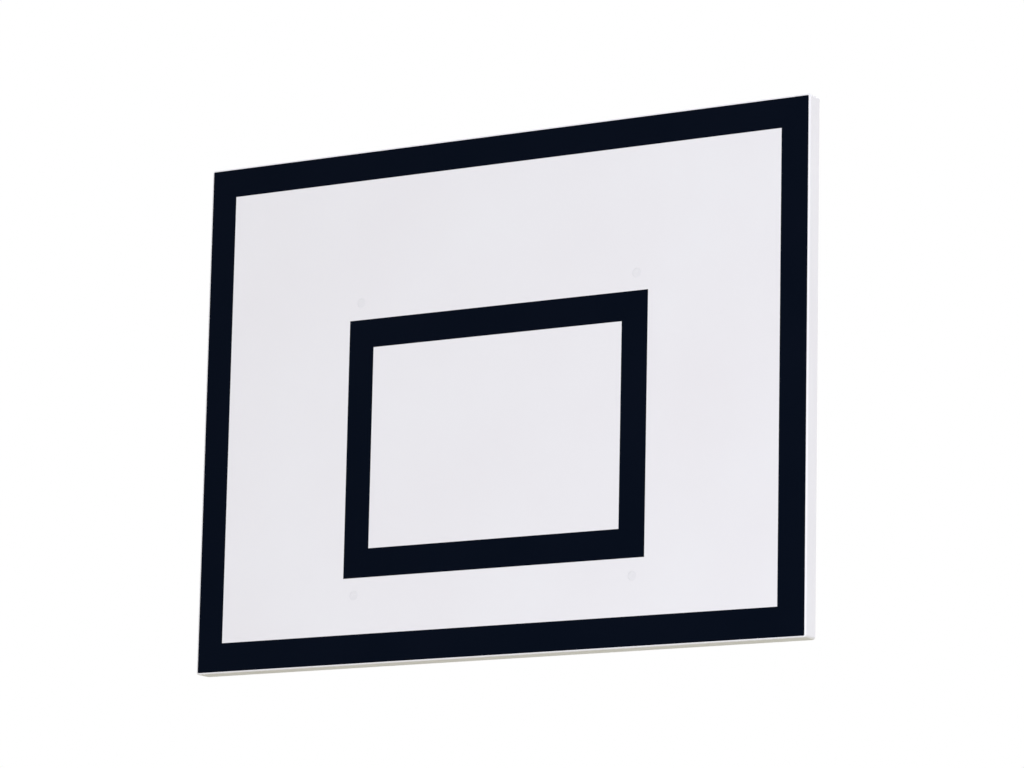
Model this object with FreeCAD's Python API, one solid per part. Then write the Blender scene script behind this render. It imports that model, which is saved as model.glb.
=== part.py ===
"""Basketball backboard, 1200 x 900 mm: a moulded glass-fibre shell with inlaid black lines,
bolted at four points to a welded steel tube frame that sits inside the shell's rim.

Millimetres. X runs to the right as a player sees the board, Y away from the player, Z up.
The origin is the centre of the four support holes, on the back face of the frame's uprights.
That is also the centre of the target rectangle, so both mirror planes of the frame pass through it.
"""

import FreeCAD
import Part
import itertools
import math
import os

Vector = FreeCAD.Vector

# Shell
BOARD_WIDTH = 1200.0
BOARD_HEIGHT = 900.0
BOARD_DEPTH = 33.0
SKIN_THICKNESS = 5.0
RIM_THICKNESS = 5.0
CORNER_RADIUS = 5.0
FRONT_EDGE_RADIUS = 2.5
REAR_EDGE_RADIUS = 1.5
INSIDE_CORNER_RADIUS = 10.0
INSIDE_FILLET_RADIUS = 6.0

# Black lines, flush in the front face
LINE_WIDTH = 50.0
LINE_DEPTH = 0.6
BORDER_MARGIN = 0.5
TARGET_WIDTH = 595.0
TARGET_HEIGHT = 450.0
TARGET_LIFT = 150.0

# Frame of rectangular tube
TUBE_WIDTH = 50.0
TUBE_DEPTH = 25.0
TUBE_WALL = 2.0
TUBE_CORNER_RADIUS = 3.0
TUBE_INSIDE_RADIUS = 0.5
TUBE_END_CLEARANCE = 4.0
WELD_LEG = 4.5
BEDDING_THICKNESS = 3.0
BEDDING_INSET = 5.0

# Plug in each open tube end
CAP_FLANGE = 3.0
CAP_INSERT = 16.0
CAP_WALL = 2.0
CAP_CLEARANCE = 0.2

# Steel plate behind the skin, where a ring is bolted on
RING_PLATE_WIDTH = 220.0
RING_PLATE_HEIGHT = 120.0
RING_PLATE_RADIUS = 10.0
RING_PLATE_CLEARANCE = 2.0

# Laminate straps that bond the tubes to the skin
STRAP_WIDTH = 60.0
STRAP_THICKNESS = 2.5
STRAP_FLANGE = 35.0
STRAP_BEND_RADIUS = 5.0

# Four countersunk bolts through skin and uprights, set in from the target's sides and out from its ends
FIXING_INSET = 22.5
FIXING_GAP = 30.0
BOLT_DIAMETER = 8.0
BOLT_HEAD_DIAMETER = 16.0
BOLT_HEAD_SINK = 0.3
BOLT_HEAD_LAND = 0.6
BOLT_SOCKET_ACROSS = 5.0
BOLT_SOCKET_DEPTH = 3.0
SOCKET_PLUG_CLEARANCE = 0.05
BOLT_PROTRUSION = 5.0
BOLT_END_CHAMFER = 1.0
BOLT_HOLE_CLEARANCE = 0.5
SLEEVE_WALL = 2.5
WASHER_DIAMETER = 24.0
WASHER_THICKNESS = 2.0
NUT_ACROSS = 13.0
NUT_HEX_HEIGHT = 5.5
NUT_COLLAR_WALL = 0.65
NUT_COLLAR_HEIGHT = 2.5
NUT_RING_WIDTH = 1.1
NUT_RING_HEIGHT = 1.8
THREAD_CLEARANCE = 0.05

# Holes and captive nuts for the support that carries the board
MOUNT_SPACING = 350.0
MOUNT_HOLE_DIAMETER = 11.0
MOUNT_NUT_ACROSS = 17.0
MOUNT_NUT_HEIGHT = 8.0
MOUNT_NUT_BORE = 8.5

# Planes along Y
FRAME_BACK = 0.0
FRAME_FRONT = FRAME_BACK - TUBE_DEPTH
SKIN_BACK = FRAME_FRONT - BEDDING_THICKNESS
FACE = SKIN_BACK - SKIN_THICKNESS
RIM_BACK = FACE + BOARD_DEPTH

# Edges in the plane of the board
HALF_WIDTH = BOARD_WIDTH / 2
BOTTOM = -TARGET_HEIGHT / 2 - TARGET_LIFT
TOP = BOTTOM + BOARD_HEIGHT
INNER_HALF_WIDTH = HALF_WIDTH - RIM_THICKNESS
INNER_BOTTOM = BOTTOM + RIM_THICKNESS
INNER_TOP = TOP - RIM_THICKNESS

# Places of the frame's pieces
UPRIGHT_X = TARGET_WIDTH / 2 - FIXING_INSET
RAIL_Z = TARGET_HEIGHT / 2 + FIXING_GAP
HALF_TUBE = TUBE_WIDTH / 2
HALF_BEDDING = HALF_TUBE - BEDDING_INSET
END_GAP = INSIDE_FILLET_RADIUS + TUBE_END_CLEARANCE + CAP_FLANGE
ARM_START = UPRIGHT_X + HALF_TUBE
ARM_END = INNER_HALF_WIDTH - END_GAP
UPRIGHT_BOTTOM = INNER_BOTTOM + END_GAP
UPRIGHT_TOP = INNER_TOP - END_GAP

BOLT_RADIUS = BOLT_DIAMETER / 2
BOLT_HOLE_RADIUS = BOLT_RADIUS + BOLT_HOLE_CLEARANCE
SIDES = (-1, 1)
NEAR = 1e-6
FIXINGS = [(sx * UPRIGHT_X, sz * RAIL_Z) for sx, sz in itertools.product(SIDES, SIDES)]
MOUNTS = [(sx * UPRIGHT_X, sz * MOUNT_SPACING / 2) for sx, sz in itertools.product(SIDES, SIDES)]

# Turns about Y that point a piece made along +X along another axis
ALONG_RIGHT = 0
ALONG_UP = -90
ALONG_LEFT = 180
ALONG_DOWN = 90
AXIS_X = Vector(1, 0, 0)
AXIS_Y = Vector(0, 1, 0)


def block(x0, x1, y0, y1, z0, z1):
    return Part.makeBox(x1 - x0, y1 - y0, z1 - z0, Vector(x0, y0, z0))


def edges_along(shape, axis):
    """Straight edges of a shape that are parallel to an axis."""
    straight = [e for e in shape.Edges if isinstance(e.Curve, Part.Line)]
    return [e for e in straight if abs(e.Curve.Direction.dot(axis)) > 1 - NEAR]


def edges_at_y(shape, y):
    """Edges of a shape that lie in one plane across Y."""
    return [e for e in shape.Edges if abs(e.BoundBox.YMin - y) + abs(e.BoundBox.YMax - y) < NEAR]


def rounded_block(x0, x1, y0, y1, z0, z1, radius, axis=AXIS_Y):
    """A block whose four edges along one axis are rounded."""
    solid = block(x0, x1, y0, y1, z0, z1)
    return solid.makeFillet(radius, edges_along(solid, axis))


def cylinder(radius, y0, y1, x=0.0, z=0.0):
    return Part.makeCylinder(radius, y1 - y0, Vector(x, y0, z), AXIS_Y)


def hexagon(across, y0, y1):
    """A six-sided prism about the Y axis, across its flats."""
    corner = across / math.sqrt(3)
    angles = [math.radians(60 * i) for i in range(7)]
    points = [Vector(corner * math.cos(a), y0, corner * math.sin(a)) for a in angles]
    return Part.Face(Part.makePolygon(points)).extrude(AXIS_Y * (y1 - y0))


def place(shape, x, z, turn=ALONG_RIGHT):
    """A copy of a shape, turned about Y and then moved across the board."""
    return shape.rotated(Vector(), AXIS_Y, turn).translated(Vector(x, 0, z))


def repeat(shape, places):
    return Part.makeCompound([place(shape, x, z) for x, z in places])


def line_frame(outside):
    """A rectangular black line, cut from a thin block of its outer shape."""
    box = outside.BoundBox
    x = box.XMax - LINE_WIDTH
    return outside.cut(block(-x, x, box.YMin, box.YMax, box.ZMin + LINE_WIDTH, box.ZMax - LINE_WIDTH))


def border_line():
    """The line round the face, its outer corners concentric with the shell's."""
    inset = FRONT_EDGE_RADIUS + BORDER_MARGIN
    radius = max(CORNER_RADIUS - inset, BORDER_MARGIN)
    x = HALF_WIDTH - inset
    return line_frame(rounded_block(-x, x, FACE, FACE + LINE_DEPTH, BOTTOM + inset, TOP - inset, radius))


def target_line():
    x, z = TARGET_WIDTH / 2, TARGET_HEIGHT / 2
    return line_frame(block(-x, x, FACE, FACE + LINE_DEPTH, -z, z))


def bolt_head(radius, start):
    """The 90 degree cone of a countersunk head with a short straight land above it, from start along Y."""
    land_end = start + BOLT_HEAD_LAND
    cone_height = radius - BOLT_RADIUS
    cone = Part.makeCone(radius, BOLT_RADIUS, cone_height, Vector(0, land_end, 0), AXIS_Y)
    return cylinder(radius, start, land_end).fuse(cone)


def countersunk_hole():
    """What is cut from the skin for one bolt: its head's seat, open to the front, and a clearance hole."""
    head_radius = BOLT_HEAD_DIAMETER / 2 + THREAD_CLEARANCE
    seat = bolt_head(head_radius, FACE + BOLT_HEAD_SINK)
    mouth = cylinder(head_radius, FACE, FACE + BOLT_HEAD_SINK)
    return seat.fuse(mouth).fuse(cylinder(BOLT_HOLE_RADIUS, FACE, SKIN_BACK))


def front_shell():
    """The moulded tray: flat skin, rim all round, grooves for the lines and seats for the bolt heads."""
    shell = rounded_block(-HALF_WIDTH, HALF_WIDTH, FACE, RIM_BACK, BOTTOM, TOP, CORNER_RADIUS)
    shell = shell.makeFillet(FRONT_EDGE_RADIUS, edges_at_y(shell, FACE))
    shell = shell.makeFillet(REAR_EDGE_RADIUS, edges_at_y(shell, RIM_BACK))
    x = INNER_HALF_WIDTH
    pocket = rounded_block(-x, x, SKIN_BACK, RIM_BACK, INNER_BOTTOM, INNER_TOP, INSIDE_CORNER_RADIUS)
    pocket = pocket.makeFillet(INSIDE_FILLET_RADIUS, edges_at_y(pocket, SKIN_BACK))
    cutters = [pocket, border_line(), target_line()]
    cutters += [place(countersunk_hole(), x, z) for x, z in FIXINGS]
    for cutter in cutters:
        shell = shell.cut(cutter)
    return shell


def tube_prism(x0, x1, inset):
    """A solid bar along X with a tube's rounded section, drawn in from the tube's outside by an inset."""
    radius = max(TUBE_CORNER_RADIUS - inset, TUBE_INSIDE_RADIUS)
    half = HALF_TUBE - inset
    return rounded_block(x0, x1, FRAME_FRONT + inset, FRAME_BACK - inset, -half, half, radius, AXIS_X)


def tube(length):
    """A length of rectangular tube along +X from the origin, open at both ends."""
    return tube_prism(0, length, 0).cut(tube_prism(0, length, TUBE_WALL))


def upright(side):
    """A tube from the lower rim to the upper rim, drilled for the bolts and for the support's bolts."""
    x = side * UPRIGHT_X
    solid = place(tube(UPRIGHT_TOP - UPRIGHT_BOTTOM), x, UPRIGHT_BOTTOM, ALONG_UP)
    for z in (-RAIL_Z, RAIL_Z):
        solid = solid.cut(cylinder(BOLT_HOLE_RADIUS, FRAME_FRONT, FRAME_BACK, x, z))
    for z in (-MOUNT_SPACING / 2, MOUNT_SPACING / 2):
        hole = cylinder(MOUNT_HOLE_DIAMETER / 2, FRAME_BACK - TUBE_WALL, FRAME_BACK, x, z)
        solid = solid.cut(hole)
    return solid


def cross_rail(level):
    """A tube between the uprights, level with a pair of bolts."""
    inner = UPRIGHT_X - HALF_TUBE
    return place(tube(2 * inner), -inner, level * RAIL_Z)


def arm(side, level):
    """A tube from an upright out to the side rim, in line with a cross rail."""
    turn = ALONG_RIGHT if side > 0 else ALONG_LEFT
    return place(tube(ARM_END - ARM_START), side * ARM_START, level * RAIL_Z, turn)


def end_cap():
    """A plug for a tube along X that ends at the origin: a flange outside it and a hollow insert in it."""
    inset = TUBE_WALL + CAP_CLEARANCE
    insert = tube_prism(-CAP_INSERT, 0, inset)
    hollow = tube_prism(-CAP_INSERT, 0, inset + CAP_WALL)
    return tube_prism(0, CAP_FLANGE, 0).fuse(insert.cut(hollow))


def arm_end_caps():
    cap = end_cap()
    right = [place(cap, ARM_END, level * RAIL_Z, ALONG_RIGHT) for level in SIDES]
    left = [place(cap, -ARM_END, level * RAIL_Z, ALONG_LEFT) for level in SIDES]
    return Part.makeCompound(right + left)


def upright_end_caps():
    cap = end_cap()
    upper = [place(cap, side * UPRIGHT_X, UPRIGHT_TOP, ALONG_UP) for side in SIDES]
    lower = [place(cap, side * UPRIGHT_X, UPRIGHT_BOTTOM, ALONG_DOWN) for side in SIDES]
    return Part.makeCompound(upper + lower)


def frame_welds():
    """Fillet welds above and below each tube that butts against an upright."""
    y0, y1 = FRAME_FRONT + TUBE_CORNER_RADIUS, FRAME_BACK - TUBE_CORNER_RADIUS
    beads = []
    for side, facing, level, over in itertools.product(SIDES, SIDES, SIDES, SIDES):
        x = side * UPRIGHT_X + facing * HALF_TUBE
        z = level * RAIL_Z + over * HALF_TUBE
        root = Vector(x, y0, z)
        along, up = Vector(facing * WELD_LEG, 0, 0), Vector(0, 0, over * WELD_LEG)
        section = Part.Face(Part.makePolygon([root, root + along, root + up, root]))
        beads.append(section.extrude(AXIS_Y * (y1 - y0)))
    return Part.makeCompound(beads)


def bedding_strip(x0, x1, z0, z1):
    return block(x0, x1, SKIN_BACK, FRAME_FRONT, z0, z1)


def upright_bedding():
    """Rubber strips between the skin and the uprights, pierced for the bolts."""
    strips = []
    for side in SIDES:
        x = side * UPRIGHT_X
        strip = bedding_strip(x - HALF_BEDDING, x + HALF_BEDDING, UPRIGHT_BOTTOM, UPRIGHT_TOP)
        for z in (-RAIL_Z, RAIL_Z):
            strip = strip.cut(cylinder(BOLT_HOLE_RADIUS, SKIN_BACK, FRAME_FRONT, x, z))
        strips.append(strip)
    return Part.makeCompound(strips)


def rail_bedding():
    """Rubber strips under the cross rails: one above, and two below that leave room for the ring plate."""
    end = UPRIGHT_X - HALF_TUBE
    start = RING_PLATE_WIDTH / 2 + RING_PLATE_CLEARANCE
    low, high = RAIL_Z - HALF_BEDDING, RAIL_Z + HALF_BEDDING
    upper = bedding_strip(-end, end, low, high)
    lower_left = bedding_strip(-end, -start, -high, -low)
    lower_right = bedding_strip(start, end, -high, -low)
    return Part.makeCompound([upper, lower_left, lower_right])


def arm_bedding():
    """Rubber strips between the skin and the arms."""
    strips = []
    for side, level in itertools.product(SIDES, SIDES):
        x0, x1 = sorted((side * ARM_START, side * ARM_END))
        z = level * RAIL_Z
        strips.append(bedding_strip(x0, x1, z - HALF_BEDDING, z + HALF_BEDDING))
    return Part.makeCompound(strips)


def ring_plate():
    """An undrilled steel plate, bonded to the skin and welded to the front of the lower cross rail."""
    x = RING_PLATE_WIDTH / 2
    low, high = -RAIL_Z - RING_PLATE_HEIGHT / 2, -RAIL_Z + RING_PLATE_HEIGHT / 2
    return rounded_block(-x, x, SKIN_BACK, FRAME_FRONT, low, high, RING_PLATE_RADIUS)


def strap():
    """A laminate strap over a tube along X, centred on the origin: flange, side, back, side, flange."""
    half = STRAP_WIDTH / 2
    crown = HALF_TUBE + STRAP_THICKNESS
    reach = crown + STRAP_FLANGE
    back, foot = FRAME_BACK + STRAP_THICKNESS, SKIN_BACK + STRAP_THICKNESS
    hat = block(-half, half, SKIN_BACK, back, -crown, crown)
    shoulders = [e for e in edges_along(hat, AXIS_X) if e.BoundBox.YMin > FRAME_BACK]
    hat = hat.makeFillet(STRAP_BEND_RADIUS, shoulders)
    solid = hat.fuse(block(-half, half, SKIN_BACK, foot, -reach, reach)).removeSplitter()
    at_foot = [e for e in edges_along(solid, AXIS_X) if abs(e.BoundBox.YMin - foot) < NEAR]
    roots = [e for e in at_foot if abs(e.BoundBox.ZMax) < reach - NEAR]
    solid = solid.makeFillet(STRAP_BEND_RADIUS, roots)
    return solid.cut(block(-half, half, SKIN_BACK, FRAME_BACK, -HALF_TUBE, HALF_TUBE))


def arm_straps():
    """A strap halfway along each arm."""
    x = (ARM_START + ARM_END) / 2
    return repeat(strap(), [(side * x, level * RAIL_Z) for side, level in itertools.product(SIDES, SIDES)])


def upright_straps():
    """A strap halfway along each upright's stretch above the cross rail."""
    z = (RAIL_Z + HALF_TUBE + UPRIGHT_TOP) / 2
    return Part.makeCompound([place(strap(), side * UPRIGHT_X, z, ALONG_UP) for side in SIDES])


def shell_bolt():
    """A countersunk socket bolt from just under the face to past its nut."""
    start = FACE + BOLT_HEAD_SINK
    end = FRAME_BACK + WASHER_THICKNESS + NUT_HEX_HEIGHT + NUT_COLLAR_HEIGHT + BOLT_PROTRUSION
    shank = cylinder(BOLT_RADIUS, start, end)
    tip = edges_at_y(shank, end)
    shank = shank.makeChamfer(BOLT_END_CHAMFER, tip)
    socket = hexagon(BOLT_SOCKET_ACROSS, start, start + BOLT_SOCKET_DEPTH)
    return bolt_head(BOLT_HEAD_DIAMETER / 2, start).fuse(shank).removeSplitter().cut(socket)


def socket_plug():
    """A plastic plug that fills a bolt's socket, level with the head."""
    start = FACE + BOLT_HEAD_SINK
    return hexagon(BOLT_SOCKET_ACROSS - 2 * SOCKET_PLUG_CLEARANCE, start, start + BOLT_SOCKET_DEPTH)


def crush_sleeve():
    """A spacer inside an upright that keeps the bolt from crushing the tube."""
    y0, y1 = FRAME_FRONT + TUBE_WALL, FRAME_BACK - TUBE_WALL
    return cylinder(BOLT_HOLE_RADIUS + SLEEVE_WALL, y0, y1).cut(cylinder(BOLT_HOLE_RADIUS, y0, y1))


def washer():
    y1 = FRAME_BACK + WASHER_THICKNESS
    return cylinder(WASHER_DIAMETER / 2, FRAME_BACK, y1).cut(cylinder(BOLT_HOLE_RADIUS, FRAME_BACK, y1))


def lock_nut():
    """A hexagon nut with a round collar that holds a nylon ring."""
    y0 = FRAME_BACK + WASHER_THICKNESS
    y1 = y0 + NUT_HEX_HEIGHT
    y2 = y1 + NUT_COLLAR_HEIGHT
    bore_radius = BOLT_RADIUS + THREAD_CLEARANCE
    chamfer = NUT_ACROSS / math.sqrt(3) - NUT_ACROSS / 2
    dome = cylinder(NUT_ACROSS / math.sqrt(3), y0, y1)
    dome = dome.makeChamfer(chamfer / 2, edges_at_y(dome, y0) + edges_at_y(dome, y1))
    seat_radius = bore_radius + NUT_RING_WIDTH
    collar = cylinder(seat_radius + NUT_COLLAR_WALL, y1, y2)
    body = hexagon(NUT_ACROSS, y0, y1).common(dome).fuse(collar)
    return body.cut(cylinder(bore_radius, y0, y2)).cut(cylinder(seat_radius, y2 - NUT_RING_HEIGHT, y2))


def nut_ring():
    """The nylon ring in a lock nut's collar."""
    y1 = FRAME_BACK + WASHER_THICKNESS + NUT_HEX_HEIGHT + NUT_COLLAR_HEIGHT
    y0 = y1 - NUT_RING_HEIGHT
    bore_radius = BOLT_RADIUS + THREAD_CLEARANCE
    return cylinder(bore_radius + NUT_RING_WIDTH, y0, y1).cut(cylinder(bore_radius, y0, y1))


def mount_nut():
    """A weld nut inside an upright, behind a hole for the support's bolt."""
    y1 = FRAME_BACK - TUBE_WALL
    y0 = y1 - MOUNT_NUT_HEIGHT
    return hexagon(MOUNT_NUT_ACROSS, y0, y1).cut(cylinder(MOUNT_NUT_BORE / 2, y0, y1))


def nodes():
    """Every sub-part by name."""
    return {
        "front_shell": front_shell(),
        "border_line": border_line(),
        "target_line": target_line(),
        "left_upright": upright(-1),
        "right_upright": upright(1),
        "upper_cross_rail": cross_rail(1),
        "lower_cross_rail": cross_rail(-1),
        "upper_left_arm": arm(-1, 1),
        "upper_right_arm": arm(1, 1),
        "lower_left_arm": arm(-1, -1),
        "lower_right_arm": arm(1, -1),
        "frame_welds": frame_welds(),
        "ring_plate": ring_plate(),
        "upright_bedding": upright_bedding(),
        "rail_bedding": rail_bedding(),
        "arm_bedding": arm_bedding(),
        "arm_straps": arm_straps(),
        "upright_straps": upright_straps(),
        "upright_end_caps": upright_end_caps(),
        "arm_end_caps": arm_end_caps(),
        "shell_bolts": repeat(shell_bolt(), FIXINGS),
        "socket_plugs": repeat(socket_plug(), FIXINGS),
        "crush_sleeves": repeat(crush_sleeve(), FIXINGS),
        "bolt_washers": repeat(washer(), FIXINGS),
        "lock_nuts": repeat(lock_nut(), FIXINGS),
        "lock_nut_rings": repeat(nut_ring(), FIXINGS),
        "mount_nuts": repeat(mount_nut(), MOUNTS),
    }


os.makedirs("parts", exist_ok=True)
for name, shape in nodes().items():
    shape.exportStep(os.path.join("parts", name + ".step"))
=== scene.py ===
"""Looks of a moulded basketball backboard on its welded tube frame.

Metres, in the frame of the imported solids: X to the player's right, Y out of the back, Z up.
"""

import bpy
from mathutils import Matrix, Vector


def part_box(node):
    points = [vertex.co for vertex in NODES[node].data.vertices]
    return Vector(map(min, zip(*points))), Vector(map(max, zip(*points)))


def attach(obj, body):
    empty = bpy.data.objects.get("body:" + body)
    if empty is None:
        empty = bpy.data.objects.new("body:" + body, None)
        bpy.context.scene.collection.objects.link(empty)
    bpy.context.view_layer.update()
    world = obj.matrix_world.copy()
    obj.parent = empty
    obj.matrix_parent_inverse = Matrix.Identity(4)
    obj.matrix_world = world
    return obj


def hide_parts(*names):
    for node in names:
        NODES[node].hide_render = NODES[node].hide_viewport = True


bl_info = {
    "name": "Moulded Backboard",
    "version": (1, 0, 0),
    "blender": (4, 5, 0),
    "location": "View3D > Sidebar > Backboard",
    "description": "Finishes a rimmed glass-fibre backboard, its inlaid lines and its steel frame",
    "category": "Object",
}

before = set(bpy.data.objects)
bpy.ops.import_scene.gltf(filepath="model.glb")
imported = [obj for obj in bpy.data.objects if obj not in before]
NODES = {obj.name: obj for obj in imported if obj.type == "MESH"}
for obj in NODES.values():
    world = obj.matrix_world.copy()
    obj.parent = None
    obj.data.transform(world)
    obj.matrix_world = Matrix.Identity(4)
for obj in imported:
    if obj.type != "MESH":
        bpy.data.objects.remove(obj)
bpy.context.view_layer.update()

import math

import bmesh
import bpy
from mathutils import Quaternion, Vector, noise

SHELL_LOW, SHELL_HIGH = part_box("front_shell")
UPRIGHTS = ("left_upright", "right_upright")
RAILS = ("upper_cross_rail", "lower_cross_rail")
ARMS = ("upper_left_arm", "upper_right_arm", "lower_left_arm", "lower_right_arm")
WELDED_JOINTS = [
    (f"{side}_upright", tube)
    for side in ("left", "right")
    for tube in (f"upper_{side}_arm", f"lower_{side}_arm", *RAILS)
]
# Direction in degrees, and shift in metres, of each lay of strands in the glass mat
STRAND_LAYS = ((12, 0.131), (49, 0.417), (83, 0.773), (118, 0.291), (151, 0.593))
# Outline of a countersunk head from its socket's mouth to its shank: shape, radius and depth
# below the top of the head, in millimetres
HEAD_OUTLINE = (
    ("hexagon", 2.48, 0.2),
    ("hexagon", 2.65, 0.0),
    ("round", 5.5, 0.0),
    ("round", 7.6, 0.0),
    ("round", 7.88, 0.08),
    ("round", 8.0, 0.28),
    ("round", 8.0, 0.6),
    ("round", 4.0, 4.6),
)

MATH = "ShaderNodeMath"
VECTOR_MATH = "ShaderNodeVectorMath"
JOIN_XYZ = "ShaderNodeCombineXYZ"
SPLIT_XYZ = "ShaderNodeSeparateXYZ"
NOISE = "ShaderNodeTexNoise"
CELLS = "ShaderNodeTexVoronoi"
MAPPING = "ShaderNodeMapping"
MAP_RANGE = "ShaderNodeMapRange"
BUMP = "ShaderNodeBump"
PRINCIPLED = "ShaderNodeBsdfPrincipled"
MIX_SHADER = "ShaderNodeMixShader"
SURFACE = "ShaderNodeOutputMaterial"
MIX = "ShaderNodeMix"
ATTRIBUTE = "GeometryNodeInputNamedAttribute"
RANDOM = "FunctionNodeRandomValue"
TRANSFORM = "GeometryNodeTransform"
ON_POINTS = "GeometryNodeInstanceOnPoints"
MILLIMETRE = 0.001
# Inputs of a Mix node: its factor, then its two colours or its two numbers. The ends of a random
# value are at the same places as the two numbers.
FACTOR, FIRST, SECOND = 0, 6, 7
FIRST_NUMBER, SECOND_NUMBER = 2, 3


def linear(hex_colour):
    """Linear red, green and blue of an sRGB hex colour."""
    levels = [int(hex_colour[i:i + 2], 16) / 255 for i in (1, 3, 5)]
    return tuple(v / 12.92 if v <= 0.04045 else ((v + 0.055) / 1.055) ** 2.4 for v in levels)


def per_mm(size):
    """Scale of a pattern on object coordinates whose features are that many millimetres across."""
    return 1000.0 / size


def colour_setting(name, of_what, hex_colour):
    return bpy.props.FloatVectorProperty(
        name=name,
        description=f"Colour of {of_what}",
        subtype="COLOR",
        size=3,
        min=0.0,
        max=1.0,
        default=linear(hex_colour),
    )


def length_setting(name, description, default):
    return bpy.props.FloatProperty(
        name=name, description=description, default=default, min=0.0, precision=5, unit="LENGTH"
    )


def angle_setting(name, description, degrees):
    return bpy.props.FloatProperty(
        name=name, description=description, default=math.radians(degrees), unit="ROTATION"
    )


def level_setting(name, description, default):
    return bpy.props.FloatProperty(
        name=name, description=description, default=default, min=0.0, subtype="FACTOR"
    )


def power_setting(name, description, watts):
    return bpy.props.FloatProperty(
        name=name, description=description, default=watts, min=0.0, unit="POWER"
    )


class MouldingSettings(bpy.types.PropertyGroup):
    """Finish of the shell, its lines and the laminate straps"""

    gel_white: colour_setting("White gel coat", "the face, the rim and the underside", "#E4E3E9")
    gel_shade: colour_setting("Aged gel coat", "the faint clouds in the white", "#E2E0E6")
    gel_black: colour_setting("Black gel coat", "the border and the target", "#030916")
    black_bloom: colour_setting("Chalked black", "the black where it has chalked", "#050B18")
    resin: colour_setting("Resin", "the resin between the strands", "#B5B9AF")
    strand: colour_setting("Glass strand", "the strands that show through the resin", "#CDD0C6")
    strap_resin: colour_setting("Strap resin", "the untinted resin in the straps", "#A3A68E")
    strand_length: length_setting("Strand length", "Length of the chopped strands", 0.05)
    strand_width: length_setting("Strand width", "Width of a bundle as it is drawn", 0.0019)
    strap_thickness: length_setting("Strap thickness", "Thickness at a strap's middle", 0.0025)
    strap_width: length_setting("Strap width", "Width of a strap along its tube", 0.06)
    strap_flange: length_setting("Strap flange", "How far a strap runs out on the skin", 0.035)
    strap_bend: length_setting("Strap bend", "Radius of a strap's bends, outside", 0.005)
    strap_wander: length_setting("Strap wander", "How far the cut edges stray", 0.0028)
    strap_lumps: length_setting("Strap lumps", "Height of the lumps on a strap's outside", 0.00035)


class SteelSettings(bpy.types.PropertyGroup):
    """Finish of the frame and its fixings"""

    spangle_dark: colour_setting("Dark spangle", "the darker zinc crystals", "#8C9195")
    spangle_light: colour_setting("Light spangle", "the lighter zinc crystals", "#B0B5B8")
    zinc_paint: colour_setting("Zinc paint", "the paint brushed over the welds", "#7C8184")
    plate_bright: colour_setting("Bright plating", "the plated nuts and washers", "#CFD2D4")
    plate_tint: colour_setting("Plating tint", "the passivated film on the plating", "#B9BFC9")
    head_paint: colour_setting("Head paint", "the paint on the bolt heads", "#E0DFE5")
    spangle_size: length_setting("Spangle size", "Width of a zinc crystal", 0.011)
    paint_reach: length_setting("Paint reach", "How far the zinc paint runs past a weld", 0.0128)
    paint_stray: length_setting("Paint stray", "Range in which its brushed edge strays", 0.03)
    paint_fade: length_setting("Paint fade", "Width over which it thins out at that edge", 0.0014)
    weld_leg: length_setting("Weld leg", "Height of a fillet weld against each tube", 0.0045)
    groove_bead: length_setting("Groove bead", "Radius of the welds on the frame's back", 0.0024)
    groove_rise: length_setting("Groove rise", "How far those welds stand proud", 0.0005)
    ripple_pitch: length_setting("Ripple pitch", "Step between the ripples of a weld", 0.0016)
    ripple_reach: length_setting("Ripple reach", "Half a ripple's length along a weld", 0.00272)
    thread_core: length_setting("Thread core", "Radius of the thread's valleys", 0.0034)
    thread_ridge: length_setting("Thread ridge", "Height of the thread's ridge", 0.00058)
    thread_pitch: length_setting("Thread pitch", "Pitch of the bolts' thread", 0.00125)
    thread_length: length_setting("Thread length", "Length of the thread that is made", 0.0065)
    thread_chamfer: length_setting("Thread chamfer", "Chamfer on a bolt's end", 0.0008)


class TrimSettings(bpy.types.PropertyGroup):
    """Finish of the rubber, plastic and nylon pieces"""

    rubber: colour_setting("Rubber", "the bedding strips", "#1C1C1E")
    rubber_dust: colour_setting("Rubber dust", "the dust and bloom on the rubber", "#39393A")
    cap: colour_setting("End cap", "the plugs in the tube ends", "#161617")
    cap_scuff: colour_setting("Scuffed cap", "the plugs where they are scuffed", "#2B2B2C")
    nylon: colour_setting("Nylon", "the rings in the lock nuts", "#6189C3")
    plug: colour_setting("Socket plug", "the plugs in the bolt heads", "#E0DFE5")


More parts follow.
